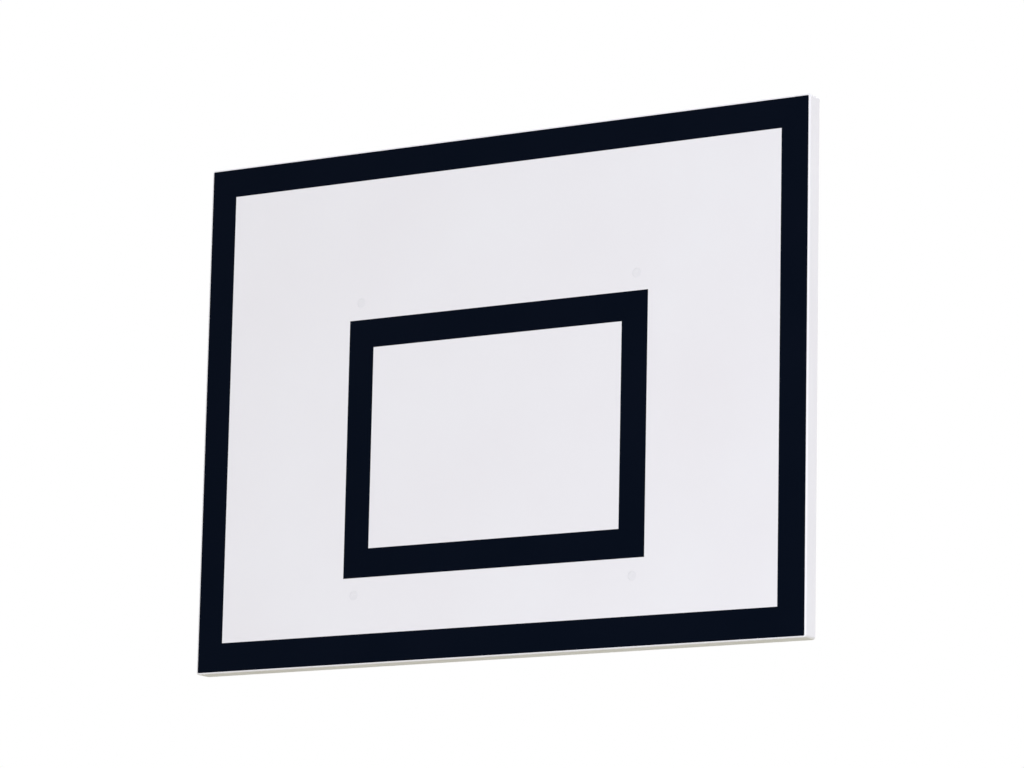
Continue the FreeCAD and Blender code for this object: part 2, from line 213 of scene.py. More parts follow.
class StageSettings(bpy.types.PropertyGroup):
    """Camera, lamps and floor"""

    aim: bpy.props.FloatVectorProperty(
        name="Aim",
        description="Point at the picture's centre",
        subtype="XYZ",
        unit="LENGTH",
        default=(0.03475, -0.033, 0.08655),
    )
    azimuth: angle_setting("Azimuth", "Turn of the camera to the board's right", 32.007)
    elevation: angle_setting("Elevation", "Height angle of the camera, below the board", -10.932)
    roll: angle_setting("Roll", "Tilt of the camera about its own axis", 1.178)
    distance: length_setting("Distance", "From the camera to the point it aims at", 7.8112)
    lens: bpy.props.FloatProperty(
        name="Lens",
        description="Focal length on a 36 mm wide sensor",
        default=162.97,
        min=1.0,
        unit="CAMERA",
    )
    floor_radius: length_setting("Floor radius", "Radius of the round floor", 45.0)
    floor_drop: length_setting("Floor drop", "From the board's lower edge to the floor", 2.55)
    floor_colour: colour_setting("Floor", "the floor, which warms the underside", "#A5A07C")
    seen_floor: colour_setting("Seen floor", "the floor as the camera sees it", "#FFFFFF")
    floor_shading: level_setting("Floor shading", "Share of the floor's shading that is seen", 0.1)
    room_colour: colour_setting("Room", "the soft light all round", "#FFFFFF")
    room_level: level_setting("Room level", "Brightness of the soft light all round", 0.85)
    lamp_colour: colour_setting("Lamps", "the lamps in front of the board", "#EEF1FF")
    key_power: power_setting("Key lamp", "Power of the soft lamp to the front right", 1960.0)
    low_power: power_setting("Low lamp", "Power of the weak lamp below the board", 10.5)
    back_power: power_setting("Back lamp", "Power of the soft lamp behind the board", 120.0)


def add_node(tree, kind, links=(), **settings):
    """Adds a node. Links give its inputs: each is a value, a socket or a node's first output."""
    node = tree.nodes.new(kind)
    for name, value in settings.items():
        setattr(node, name, value)
    for key, source in dict(links).items():
        if isinstance(source, bpy.types.Node):
            source = next(socket for socket in source.outputs if socket.enabled)
        if isinstance(source, bpy.types.NodeSocket):
            tree.links.new(source, node.inputs[key])
        else:
            node.inputs[key].default_value = source
    return node


def new_material(name):
    """An empty material, with its node tree and the object coordinates that its patterns read."""
    material = bpy.data.materials.new(name)
    material.use_nodes = True
    tree = material.node_tree
    tree.nodes.clear()
    place = add_node(tree, "ShaderNodeTexCoord").outputs["Object"]
    return material, tree, place


def opaque(colour):
    return (*colour, 1.0)


def darkened(colour, share):
    return tuple(channel * share for channel in colour)


def finish_surface(tree, relief, finish):
    """Ends a material in a principled shader over a bump, from the inputs of both."""
    bump = add_node(tree, BUMP, {"Strength": 1.0, **relief})
    shader = add_node(tree, PRINCIPLED, {"Normal": bump, **finish})
    add_node(tree, SURFACE, {"Surface": shader})


def chopped_strands(tree, place, moulding):
    """Height from 0 to 1 of a mat of short straight strands that lie in all directions."""
    split = add_node(tree, SPLIT_XYZ, {0: place}).outputs
    # Both axes lean with the depth, so that the pattern also runs over the walls of the rim
    across = add_node(tree, MATH, {0: split["Y"], 1: 0.9, 2: split["X"]}, operation="MULTIPLY_ADD")
    upward = add_node(tree, MATH, {0: split["Y"], 1: 0.7, 2: split["Z"]}, operation="MULTIPLY_ADD")
    flat = add_node(tree, JOIN_XYZ, {"X": across, "Y": upward})
    drift = add_node(tree, NOISE, {"Vector": flat, "Scale": per_mm(45), "Detail": 1.0})
    pull = {0: drift.outputs["Color"], 1: (0.012, 0.012, 0.0), 2: flat}
    bend = add_node(tree, VECTOR_MATH, pull, operation="MULTIPLY_ADD")
    height = None
    # Real bundles are about a millimetre wide. They are drawn nearly twice that, so that they show.
    for degrees, shift in STRAND_LAYS:
        start, turn = (shift, 2 * shift, 0.0), (0.0, 0.0, math.radians(degrees))
        turned = add_node(tree, MAPPING, {"Vector": bend, "Location": start, "Rotation": turn})
        strands = add_node(
            tree,
            "ShaderNodeTexBrick",
            {
                "Vector": turned,
                "Color1": (0.0, 0.0, 0.0, 1.0),
                "Color2": (1.0, 1.0, 1.0, 1.0),
                "Mortar": (0.0, 0.0, 0.0, 1.0),
                "Scale": per_mm(1),
                "Mortar Size": 0.12,
                "Mortar Smooth": 0.6,
                "Brick Width": 1000 * moulding.strand_length,
                "Row Height": 1000 * moulding.strand_width,
            },
            offset=0.37,
        )
        # About two fifths of the bricks are light enough to stand up as strands
        tint = strands.outputs["Color"]
        raised = add_node(tree, MAP_RANGE, {"Value": tint, "From Min": 0.58, "From Max": 0.95})
        if height is None:
            height = raised
        else:
            height = add_node(tree, MATH, {0: height, 1: raised}, operation="MAXIMUM")
    return height


def inside_of_shell(tree, place):
    """0 on the shell's gel-coated outside, 1 on its laminate, by the depth below the outside."""
    split = add_node(tree, SPLIT_XYZ, {0: place}).outputs
    half = add_node(tree, MATH, {0: split["X"]}, operation="ABSOLUTE")
    depth = None
    for outer, inner in (
        (SHELL_HIGH.x, half),
        (SHELL_HIGH.z, split["Z"]),
        (split["Z"], SHELL_LOW.z),
        (split["Y"], SHELL_LOW.y),
    ):
        below = add_node(tree, MATH, {0: outer, 1: inner}, operation="SUBTRACT")
        if depth is None:
            depth = below
        else:
            depth = add_node(tree, MATH, {0: depth, 1: below}, operation="MINIMUM")
    # The rounded corners dip 1.5 mm below the outer faces, so the laminate starts just deeper
    return add_node(tree, MAP_RANGE, {"Value": depth, "From Min": 0.0016, "From Max": 0.0019})


def laid_mat(tree, place, moulding, resin, pool, shown, sheen, heights):
    """Colour, roughness and height of chopped strands that are rolled into resin.

    The resin stands in pools that many millimetres wide. Strands show between two levels of their
    height times that of the pools, the sheen is the roughness at the pools' levels 0 and 1, and
    the heights are those of the pools and of the strands, in millimetres.
    """
    strands = chopped_strands(tree, place, moulding)
    pools = add_node(tree, NOISE, {"Vector": place, "Scale": per_mm(pool), "Detail": 4.0})
    soaked = add_node(tree, MATH, {0: strands, 1: pools}, operation="MULTIPLY")
    low, high = shown
    share = add_node(tree, MAP_RANGE, {"Value": soaked, "From Min": low, "From Max": high})
    tones = {FACTOR: share, FIRST: opaque(resin), SECOND: opaque(moulding.strand)}
    colour = add_node(tree, MIX, tones, data_type="RGBA")
    smooth, rough = sheen
    roughness = add_node(tree, MAP_RANGE, {"Value": pools, "To Min": smooth, "To Max": rough})
    pool_height, strand_height = heights
    raised = add_node(tree, MATH, {0: strands, 1: strand_height}, operation="MULTIPLY")
    stacked = {0: pools, 1: pool_height, 2: raised}
    height = add_node(tree, MATH, stacked, operation="MULTIPLY_ADD")
    return colour, roughness, height


def moulded_shell(moulding):
    # Glass fibre laid up by hand in a polished mould. Outside, a satin white gel coat, even to the
    # eye, with the faint ripple of orange peel and very slight clouds. Inside, and on the trimmed
    # rear edge, chopped strands rolled into pale resin: a criss-cross of raised glossy bundles.
    material, tree, place = new_material("Glass fibre with white gel coat")
    inside = inside_of_shell(tree, place)
    clouds = add_node(tree, NOISE, {"Vector": place, "Scale": per_mm(260), "Detail": 3.0})
    aged = add_node(tree, MAP_RANGE, {"Value": clouds, "From Min": 0.35, "From Max": 0.75})
    whites = {FACTOR: aged, FIRST: opaque(moulding.gel_white), SECOND: opaque(moulding.gel_shade)}
    white = add_node(tree, MIX, whites, data_type="RGBA")
    satin = add_node(tree, MAP_RANGE, {"Value": clouds, "To Min": 0.36, "To Max": 0.46})
    # Orange peel 3 mm across and 0.02 mm high
    peel = add_node(tree, NOISE, {"Vector": place, "Scale": per_mm(3), "Detail": 1.0})
    peel_height = add_node(tree, MATH, {0: peel, 1: 0.02}, operation="MULTIPLY")
    laminate, wet, mat_height = laid_mat(
        tree,
        place,
        moulding,
        moulding.resin,
        pool=35,
        shown=(0.02, 0.55),
        sheen=(0.22, 0.55),
        heights=(0.9, 0.14),
    )
    coats = {FACTOR: inside, FIRST: white, SECOND: laminate}
    colour = add_node(tree, MIX, coats, data_type="RGBA")
    roughness = add_node(tree, MIX, {FACTOR: inside, FIRST_NUMBER: satin, SECOND_NUMBER: wet})
    heights = {FACTOR: inside, FIRST_NUMBER: peel_height, SECOND_NUMBER: mat_height}
    height = add_node(tree, MIX, heights)
    finish = {"Base Color": colour, "Roughness": roughness, "IOR": 1.5}
    finish_surface(tree, {"Height": height, "Distance": MILLIMETRE}, finish)
    return material


def strap_laminate(moulding):
    # Two layers of chopped mat wetted out by brush over the tubes: clear, slightly green resin in
    # which the strands show strongly, glossy where it pooled and dry where it is thin.
    material, tree, place = new_material("Chopped-strand laminate")
    colour, roughness, height = laid_mat(
        tree,
        place,
        moulding,
        moulding.strap_resin,
        pool=22,
        shown=(0.05, 0.6),
        sheen=(0.18, 0.6),
        heights=(0.6, 0.2),
    )
    finish = {"Base Color": colour, "Roughness": roughness, "IOR": 1.52}
    finish_surface(tree, {"Height": height, "Distance": MILLIMETRE}, finish)
    return material


def near_welds(tree, place, steel):
    """1 in bands along the welds between tubes and uprights, 0 past their ragged brushed edge."""
    upright_low, upright_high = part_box("right_upright")
    rail_low, rail_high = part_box("upper_cross_rail")
    split = add_node(tree, SPLIT_XYZ, {0: place}).outputs
    past = {}
    for axis, low, high in (
        ("X", upright_low.x, upright_high.x),
        ("Z", rail_low.z, rail_high.z),
    ):
        half = add_node(tree, MATH, {0: split[axis]}, operation="ABSOLUTE")
        middle = add_node(tree, MATH, {0: half, 1: (low + high) / 2}, operation="SUBTRACT")
        off = add_node(tree, MATH, {0: middle}, operation="ABSOLUTE")
        past[axis] = add_node(tree, MATH, {0: off, 1: (high - low) / 2}, operation="SUBTRACT")
    aside = add_node(tree, MATH, {0: past["X"]}, operation="ABSOLUTE")
    farther = add_node(tree, MATH, {0: aside, 1: past["Z"]}, operation="MAXIMUM")
    ragged = add_node(tree, NOISE, {"Vector": place, "Scale": per_mm(14), "Detail": 5.0})
    brushed = add_node(
        tree, MATH, {0: ragged, 1: steel.paint_stray, 2: farther}, operation="MULTIPLY_ADD"
    )
    full = steel.paint_reach + steel.paint_stray / 2
    bare = full + steel.paint_fade
    return add_node(tree, MAP_RANGE, {"Value": brushed, "From Min": bare, "From Max": full})


def galvanised_steel(steel):
    # Hot-dip galvanised tube: flat zinc crystals about a centimetre wide, each catching the light
    # its own way, with feathery growth inside, drawn a little coarser than real so that it shows.
    # Along the welds the burnt coating is touched up with dull zinc paint.
    material, tree, place = new_material("Galvanised steel")
    drift = add_node(tree, NOISE, {"Vector": place, "Scale": per_mm(14), "Detail": 2.0})
    pull = {0: drift.outputs["Color"], 1: (0.004, 0.004, 0.004), 2: place}
    ragged = add_node(tree, VECTOR_MATH, pull, operation="MULTIPLY_ADD")
    size = per_mm(1000 * steel.spangle_size)
    cells = add_node(tree, CELLS, {"Vector": ragged, "Scale": size, "Randomness": 1.0})
    spangle = cells.outputs["Color"]
    crystal = add_node(tree, "ShaderNodeSeparateColor", {0: spangle}).outputs
    turn = add_node(tree, MATH, {0: crystal[1], 1: 2 * math.pi}, operation="MULTIPLY")
    grown = add_node(
        tree,
        "ShaderNodeVectorRotate",
        {"Vector": place, "Axis": (0.3, 0.9, 0.3), "Angle": turn},
        rotation_type="AXIS_ANGLE",
    )
    grain = add_node(tree, MAPPING, {"Vector": grown, "Scale": (0.15, 1.0, 1.0)})
    feather = add_node(tree, NOISE, {"Vector": grain, "Scale": per_mm(1.6), "Detail": 2.0})
    tone = add_node(tree, MATH, {0: feather, 1: 0.5, 2: crystal[0]}, operation="MULTIPLY_ADD")
    shade = add_node(tree, MAP_RANGE, {"Value": tone, "From Min": 0.2, "From Max": 1.3})
    tones = {FACTOR: shade, FIRST: opaque(steel.spangle_dark), SECOND: opaque(steel.spangle_light)}
    zinc = add_node(tree, MIX, tones, data_type="RGBA")
    painted = near_welds(tree, place, steel)
    coats = {FACTOR: painted, FIRST: zinc, SECOND: opaque(steel.zinc_paint)}
    colour = add_node(tree, MIX, coats, data_type="RGBA")
    metallic = add_node(tree, MAP_RANGE, {"Value": painted, "To Min": 1.0, "To Max": 0.25})
    sheen = add_node(tree, MAP_RANGE, {"Value": crystal[2], "To Min": 0.34, "To Max": 0.5})
    roughness = add_node(tree, MIX, {FACTOR: painted, FIRST_NUMBER: sheen, SECOND_NUMBER: 0.72})
    tilt = add_node(tree, VECTOR_MATH, {0: spangle, 1: (0.5, 0.5, 0.5)}, operation="SUBTRACT")
    facing = add_node(tree, "ShaderNodeNewGeometry").outputs["Normal"]
    lean = {0: tilt, 1: (0.16, 0.16, 0.16), 2: facing}
    leaning = add_node(tree, VECTOR_MATH, lean, operation="MULTIPLY_ADD")
    facet = add_node(tree, VECTOR_MATH, {0: leaning}, operation="NORMALIZE")
    finish = {"Base Color": colour, "Metallic": metallic, "Roughness": roughness}
    finish_surface(tree, {"Height": feather, "Distance": 0.00004, "Normal": facet}, finish)
    return material


def weld_paint(steel):
    # Weld metal brushed over with zinc-rich paint: dull mid grey, thick in the valleys of the
    # ripples and rubbed brighter in patches, with fine grit, drawn coarser than real so that it
    # shows.
    material, tree, place = new_material("Zinc-rich paint on weld metal")
    rub = add_node(tree, NOISE, {"Vector": place, "Scale": per_mm(2.5), "Detail": 4.0})
    worn = add_node(tree, MAP_RANGE, {"Value": rub, "From Min": 0.45, "From Max": 0.75})
    tones = {FACTOR: worn, FIRST: opaque(steel.zinc_paint), SECOND: opaque(steel.spangle_dark)}
    colour = add_node(tree, MIX, tones, data_type="RGBA")
    metallic = add_node(tree, MAP_RANGE, {"Value": worn, "To Min": 0.2, "To Max": 0.7})
    grit = add_node(tree, NOISE, {"Vector": place, "Scale": per_mm(0.6), "Detail": 2.0})
    finish = {"Base Color": colour, "Metallic": metallic, "Roughness": 0.66}
    finish_surface(tree, {"Height": grit, "Distance": 0.00015}, finish)
    return material


def mottled(name, colours, patch, blend, sheen, grain, finish):
    """A material whose colour and roughness drift in soft patches, over a fine grain.

    The patches have a width in millimetres and a noise detail. The blend is the noise levels
    between which the first colour turns into the second, and the sheen is the roughness at noise
    levels 0 and 1. The grain has a kind of texture, a width in millimetres, a detail and a height
    in metres. The finish holds the shader's other inputs.
    """
    material, tree, place = new_material(name)
    width, detail = patch
    patches = add_node(tree, NOISE, {"Vector": place, "Scale": per_mm(width), "Detail": detail})
    low, high = blend
    share = add_node(tree, MAP_RANGE, {"Value": patches, "From Min": low, "From Max": high})
    first, second = colours
    tones = {FACTOR: share, FIRST: opaque(first), SECOND: opaque(second)}
    colour = add_node(tree, MIX, tones, data_type="RGBA")
    smooth, rough = sheen
    roughness = add_node(tree, MAP_RANGE, {"Value": patches, "To Min": smooth, "To Max": rough})
    kind, width, detail, height = grain
    texture = add_node(tree, kind, {"Vector": place, "Scale": per_mm(width), "Detail": detail})
    relief = {"Height": texture, "Distance": height}
    finish_surface(tree, relief, {"Base Color": colour, "Roughness": roughness, **finish})
    return material


def black_gel_coat(moulding):
    # Pigmented polyester brushed into the mould before the white: a flat blue-black that reflects
    # very little, chalked by the weather in faint clouds, with the white's orange peel.
    return mottled(
        "Black gel coat",
        (moulding.gel_black, moulding.black_bloom),
        patch=(180, 4.0),
        blend=(0.35, 0.7),
        sheen=(0.5, 0.7),
        grain=(NOISE, 3, 1.0, 0.00002),
        finish={"IOR": 1.5, "Specular IOR Level": 0.02},
    )


def zinc_plate(steel):
    # Bright zinc electroplate with a thin passivated film: a cool, fairly mirror-like grey whose
    # tint shifts a little over a few millimetres, on fine turning marks, drawn coarser than real so
    # that they show.
    return mottled(
        "Zinc-plated steel",
        (steel.plate_bright, steel.plate_tint),
        patch=(5, 3.0),
        blend=(0.0, 1.0),
        sheen=(0.2, 0.36),
        grain=(NOISE, 0.5, 1.0, 0.00002),
        finish={"Metallic": 1.0},
    )


def smooth_white(name, colour, dulled):
    # The paint on the bolt heads and the plastic in their sockets: sprayed or moulded smooth,
    # satin, a touch greyer than the gel coat, and dulled in small patches by cleaning.
    return mottled(
        name,
        (colour, darkened(colour, dulled)),
        patch=(6, 3.0),
        blend=(0.4, 0.8),
        sheen=(0.38, 0.5),
        grain=(NOISE, 1.2, 1.0, 0.00002),
        finish={"IOR": 1.5},
    )


def bedding_rubber(trim):
    # Cut EPDM strip: a matt, slightly brown black with a fine sawn tooth and grey bloom in patches.
    return mottled(
        "EPDM rubber",
        (trim.rubber, trim.rubber_dust),
        patch=(18, 5.0),
        blend=(0.45, 0.8),
        sheen=(0.65, 0.9),
        grain=(NOISE, 0.7, 3.0, 0.0002),
        finish={"IOR": 1.52, "Specular IOR Level": 0.35},
    )


def cap_polythene(trim):
    # Injection-moulded polythene: a soft waxy black with a fine spark-eroded grain, drawn coarser
    # than real so that it shows, and pale scuffs from fitting.
    return mottled(
        "Polythene",
        (trim.cap, trim.cap_scuff),
        patch=(7, 5.0),
        blend=(0.5, 0.75),
        sheen=(0.38, 0.62),
        grain=(CELLS, 0.5, 0.0, 0.00006),
        finish={"IOR": 1.51},
    )


def ring_nylon(trim):
    # Dyed nylon pressed into the nut: an even, slightly waxy blue, a touch paler where it was
    # swaged.
    pale = tuple(0.8 * channel + 0.2 for channel in trim.nylon)
    return mottled(
        "Nylon",
        (trim.nylon, pale),
        patch=(2, 2.0),
        blend=(0.0, 1.0),
        sheen=(0.35, 0.5),
        grain=(NOISE, 2, 2.0, 0.00003),
        finish={"IOR": 1.53},
    )


def seen_rays(tree):
    """1 for rays from the camera, and for those that mirror-like surfaces or glass send on."""
    path = add_node(tree, "ShaderNodeLightPath").outputs
    sent_on = {0: path["Is Glossy Ray"], 1: path["Is Transmission Ray"]}
    mirrored = add_node(tree, MATH, sent_on, operation="MAXIMUM")
    return add_node(tree, MATH, {0: path["Is Camera Ray"], 1: mirrored}, operation="MAXIMUM")


def court_floor(stage):
    # Painted screed: warm, with soft mottling from the trowel. To the eye it is an even near-white,
    # on which the board's shadow stays faintly, and clear from below.
    material, tree, place = new_material("Painted screed")
    trowel = add_node(tree, NOISE, {"Vector": place, "Scale": per_mm(900), "Detail": 4.0})
    darker = darkened(stage.floor_colour, 0.96)
    tones = {FACTOR: trowel, FIRST: opaque(stage.floor_colour), SECOND: opaque(darker)}
    colour = add_node(tree, MIX, tones, data_type="RGBA")
    screed = add_node(tree, PRINCIPLED, {"Base Color": colour, "Roughness": 0.8})
    white = opaque(stage.seen_floor)
    even = add_node(tree, "ShaderNodeEmission", {"Color": white, "Strength": 1.0})
    shaded = add_node(tree, "ShaderNodeBsdfDiffuse", {"Color": white})
    pale = add_node(tree, MIX_SHADER, {0: stage.floor_shading, 1: even, 2: shaded})
    both = add_node(tree, MIX_SHADER, {0: seen_rays(tree), 1: screed, 2: pale})
    below = add_node(tree, "ShaderNodeNewGeometry").outputs["Backfacing"]
    clear = add_node(tree, "ShaderNodeBsdfTransparent")
    shader = add_node(tree, MIX_SHADER, {0: below, 1: both, 2: clear})
    add_node(tree, SURFACE, {"Surface": shader})
    return material


def wear_material(names, material):
    """Gives CAD nodes one material in place of their plain ones."""
    for name in names:
        materials = NODES[name].data.materials
        materials.clear()
        materials.append(material)


def new_object(name, data):
    thing = bpy.data.objects.new(name, data)
    bpy.context.scene.collection.objects.link(thing)
    return thing


def closed_mesh(name, build, crease):
    """A mesh of closed skins that face outwards, smooth but for creases over that many degrees."""
    bmesh.ops.recalc_face_normals(build, faces=build.faces)
    for face in build.faces:
        face.smooth = len(face.verts) == 4
    mesh = bpy.data.meshes.new(name)
    build.to_mesh(mesh)
    build.free()
    mesh.set_sharp_from_angle(angle=math.radians(crease))
    return mesh


def middle_of(name):
    """Centre of a CAD node's box."""
    low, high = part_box(name)
    return (low + high) / 2


def new_tree(name, sizes):
    """A geometry node tree with a mesh, named sizes, a seed and a material in, and a mesh out."""
    tree = bpy.data.node_groups.new(name, "GeometryNodeTree")
    inputs = [("Geometry", "NodeSocketGeometry")]
    inputs += [(size, "NodeSocketFloat") for size in sizes]
    inputs += [("Seed", "NodeSocketInt"), ("Material", "NodeSocketMaterial")]
    for label, kind in inputs:
        tree.interface.new_socket(label, in_out="INPUT", socket_type=kind)
    tree.interface.new_socket("Geometry", in_out="OUTPUT", socket_type="NodeSocketGeometry")
    return tree, add_node(tree, "NodeGroupInput").outputs


def close_tree(tree, laid, given):
    """Ends a tree: what was laid on its points becomes one mesh of the given material."""
    solid = add_node(tree, "GeometryNodeRealizeInstances", {0: laid})
    dressed = add_node(
        tree, "GeometryNodeSetMaterial", {"Geometry": solid, "Material": given["Material"]}
    )
    add_node(tree, "NodeGroupOutput", {"Geometry": dressed})


def grow(name, mesh, tree, values):
    """Runs a node tree with those inputs on a mesh, and gives the result as a plain mesh object."""
    piece = new_object(name, mesh)
    modifier = piece.modifiers.new("Grow", "NODES")
    modifier.node_group = tree
    sockets = [item for item in tree.interface.items_tree if item.item_type == "SOCKET"]
    identifiers = {item.name: item.identifier for item in sockets if item.in_out == "INPUT"}
    for label, value in values.items():
        modifier[identifiers[label]] = value
    graph = bpy.context.evaluated_depsgraph_get()
    grown = bpy.data.meshes.new_from_object(piece.evaluated_get(graph))
    piece.modifiers.remove(modifier)
    piece.data = grown
    if not grown.polygons:
        raise RuntimeError(f"{name} came out empty")
    return piece


def weld_lines(steel):
    """The root line of each weld as a loose edge.

    Its points hold the turn that lays the ripples across the line, and the ripples' radius.
    """
    low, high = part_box("frame_welds")
    lines = []
    for upright, tube in WELDED_JOINTS:
        upright_low, upright_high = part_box(upright)
        tube_low, tube_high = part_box(tube)
        outward = middle_of(tube).x > middle_of(upright).x
        x = upright_high.x if outward else upright_low.x
        for z, quarter in ((tube_high.z, 0 if outward else 3), (tube_low.z, 1 if outward else 2)):
            turn = (0.0, quarter * math.pi / 2, 0.0)
            lines.append(((x, low.y, z), (x, high.y, z), turn, steel.weld_leg))
        # On the back, the groove between the tube's cut end and the rounded corner of the upright,
        # which runs on to meet the fillets
        corner = low.y - upright_low.y
        groove_x = x + (-1 if outward else 1) * steel.groove_bead / 4
        groove_y = upright_high.y + steel.groove_rise - steel.groove_bead
        below = (groove_x, groove_y, tube_low.z - corner)
        above = (groove_x, groove_y, tube_high.z + corner)
        lines.append((below, above, (math.pi / 2, 0.0, 0.0), steel.groove_bead))
    mesh = bpy.data.meshes.new("weld_lines")
    build = bmesh.new()
    turn_layer = build.verts.layers.float_vector.new("turn")
    bead_layer = build.verts.layers.float.new("bead")
    for start, end, turn, bead in lines:
        ends = [build.verts.new(spot) for spot in (start, end)]
        for vert in ends:
            vert[turn_layer] = turn
            vert[bead_layer] = bead
        build.edges.new(ends)
    build.to_mesh(mesh)
    build.free()
    return mesh


def ripple_tree():
    """Overlapping flattened drops along each weld's root line."""
    tree, given = new_tree("Weld ripples", ("Pitch", "Reach"))
    lines = add_node(tree, "GeometryNodeMeshToCurve", {"Mesh": given["Geometry"]})
    spacing = {"Curve": lines, "Length": given["Pitch"]}
    steps = add_node(tree, "GeometryNodeResampleCurve", spacing, mode="LENGTH")
    ball = {"Segments": 12, "Rings": 7, "Radius": 1.0}
    drop = add_node(tree, "GeometryNodeMeshUVSphere", ball)
    smooth = add_node(tree, "GeometryNodeSetShadeSmooth", {0: drop})
    bead = add_node(tree, ATTRIBUTE, {"Name": "bead"}, data_type="FLOAT")
    turn = add_node(tree, ATTRIBUTE, {"Name": "turn"}, data_type="FLOAT_VECTOR")
    squeeze = add_node(tree, JOIN_XYZ, {"X": bead, "Y": given["Reach"], "Z": bead})
    spread = {FIRST_NUMBER: 0.94, SECOND_NUMBER: 1.02, "Seed": given["Seed"]}
    uneven = add_node(tree, RANDOM, spread, data_type="FLOAT")
    scale = add_node(tree, VECTOR_MATH, {0: squeeze, "Scale": uneven}, operation="SCALE")
    laid = add_node(
        tree, ON_POINTS, {"Points": steps, "Instance": smooth, "Rotation": turn, "Scale": scale}
    )
    close_tree(tree, laid, given)
    return tree


def fixing_places():
    """A point on each bolt's axis, in the plane of the frame's back."""
    return [
        Vector((middle_of(upright).x, 0.0, middle_of(rail).z))
        for upright in UPRIGHTS
        for rail in reversed(RAILS)
    ]


def thread_tree():
    """A threaded bolt end on each point: a core with a chamfered tip, and a ridge round it."""
    tree, given = new_tree("Bolt thread", ("Core", "Ridge", "Pitch", "Start", "End", "Chamfer"))
    core, chamfer = given["Core"], given["Chamfer"]
    span = add_node(tree, MATH, {0: given["End"], 1: given["Start"]}, operation="SUBTRACT")
    straight = add_node(tree, MATH, {0: span, 1: chamfer}, operation="SUBTRACT")
    rod_size = {"Vertices": 32, "Radius": core, "Depth": straight}
    rod = add_node(tree, "GeometryNodeMeshCylinder", rod_size)
    rod_middle = add_node(tree, MATH, {0: straight, 1: 0.5}, operation="MULTIPLY")
    tip_radius = add_node(tree, MATH, {0: core, 1: chamfer}, operation="SUBTRACT")
    tip = add_node(
        tree,
        "GeometryNodeMeshCone",
        {"Vertices": 32, "Radius Top": tip_radius, "Radius Bottom": core, "Depth": chamfer},
    )
    turns = add_node(tree, MATH, {0: straight, 1: given["Pitch"]}, operation="DIVIDE")
    helix = add_node(
        tree,
        "GeometryNodeCurveSpiral",
        {
            "Resolution": 28,
            "Rotations": turns,
            "Start Radius": core,
            "End Radius": core,
            "Height": straight,
        },
    )
    square = {"Resolution": 4, "Radius": given["Ridge"]}
    section = add_node(tree, "GeometryNodeCurvePrimitiveCircle", square).outputs["Curve"]
    wound = {"Curve": helix, "Profile Curve": section, "Fill Caps": True}
    ridge = add_node(tree, "GeometryNodeCurveToMesh", wound)
    whole = add_node(tree, "GeometryNodeJoinGeometry")
    for shape, height in ((rod, rod_middle), (tip, straight)):
        lift = add_node(tree, JOIN_XYZ, {"Z": height})
        lifted = {"Geometry": shape.outputs["Mesh"], "Translation": lift}
        tree.links.new(add_node(tree, TRANSFORM, lifted).outputs[0], whole.inputs[0])
    tree.links.new(ridge.outputs[0], whole.inputs[0])
    start = add_node(tree, JOIN_XYZ, {"Y": given["Start"]})
    backward = (-math.pi / 2, 0.0, 0.0)
    moved = {"Geometry": whole, "Rotation": backward, "Translation": start}
    turned = add_node(tree, TRANSFORM, moved)
    any_turn = {FIRST_NUMBER: 0.0, SECOND_NUMBER: 2 * math.pi, "Seed": given["Seed"]}
    spin = add_node(tree, RANDOM, any_turn, data_type="FLOAT")
    about = add_node(tree, JOIN_XYZ, {"Y": spin})
    laid = add_node(
        tree, ON_POINTS, {"Points": given["Geometry"], "Instance": turned, "Rotation": about}
    )
    close_tree(tree, laid, given)
    return tree


def head_rings(steel):
    """Rings of a bolt from its socket's floor to where its thread starts: shape, radius and Y."""
    low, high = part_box("shell_bolts")
    rings = [(shape, radius / 1000, low.y + depth / 1000) for shape, radius, depth in HEAD_OUTLINE]
    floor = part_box("socket_plugs")[1].y
    # The shank runs half a millimetre into the thread
    shank_end = high.y - steel.thread_length + 0.0005
    return [(*rings[0][:2], floor), *rings, (*rings[-1][:2], shank_end)]


def bolt_heads_mesh(steel, steps=48):
    """Four countersunk bolts without their threaded ends, closed, with hexagon sockets."""
    build = bmesh.new()
    for centre in fixing_places():
        loops = []
        for shape, radius, y in head_rings(steel):
            loop = []
            for step in range(steps):
                angle = 2 * math.pi * step / steps
                reach = radius
                if shape == "hexagon":
                    reach = radius / math.cos(angle % (math.pi / 3) - math.pi / 6)
                x = centre.x + reach * math.cos(angle)
                z = centre.z + reach * math.sin(angle)
                loop.append(build.verts.new((x, y, z)))
            loops.append(loop)
        for inner, outer in zip(loops, loops[1:]):
            for step in range(steps):
                after = (step + 1) % steps
                build.faces.new((inner[step], inner[after], outer[after], outer[step]))
        build.faces.new(loops[0])
        build.faces.new(loops[-1])
    return closed_mesh("bolt_heads", build, crease=25)


